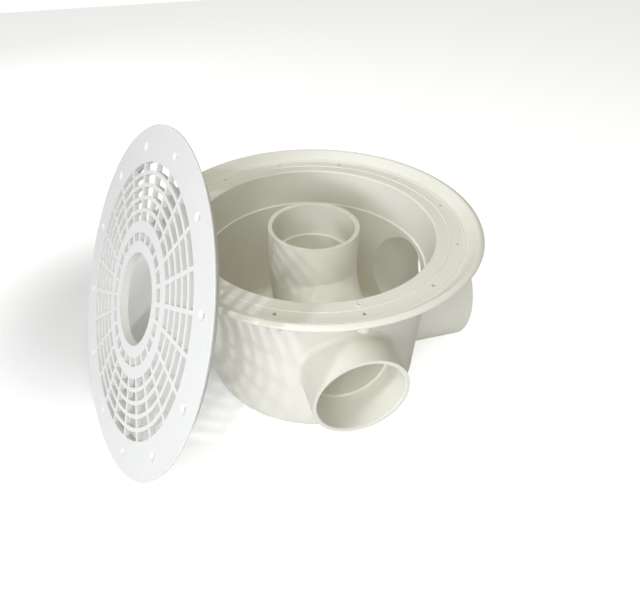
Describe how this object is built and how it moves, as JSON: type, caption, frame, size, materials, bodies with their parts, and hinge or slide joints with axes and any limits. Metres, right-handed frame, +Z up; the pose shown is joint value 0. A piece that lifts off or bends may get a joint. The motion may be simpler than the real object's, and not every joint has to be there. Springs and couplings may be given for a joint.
{
  "type": "tank bottom drain",
  "caption": "Round moulded drain pot with a dished screw flange, pipe sockets in the middle, front and side, and a slotted grating leaning on it.",
  "frame": {"origin": "centre of the pot's round base, on the plane that it stands on", "axes": "+Z up along the pot's axis, -Y out of the 110 mm front socket, +X out of the 160 mm side socket"},
  "size_m": [0.5502, 0.4716, 0.3829],
  "materials": {
    "pot_plastic": "satin moulded",
    "bend_plastic": "satin moulded",
    "grating_plastic": "satin moulded"
  },
  "bodies": {
    "root": {"drain_body": "pot_plastic", "centre_bend": "bend_plastic", "grating_lid": "grating_plastic"}
  },
  "joints": []
}
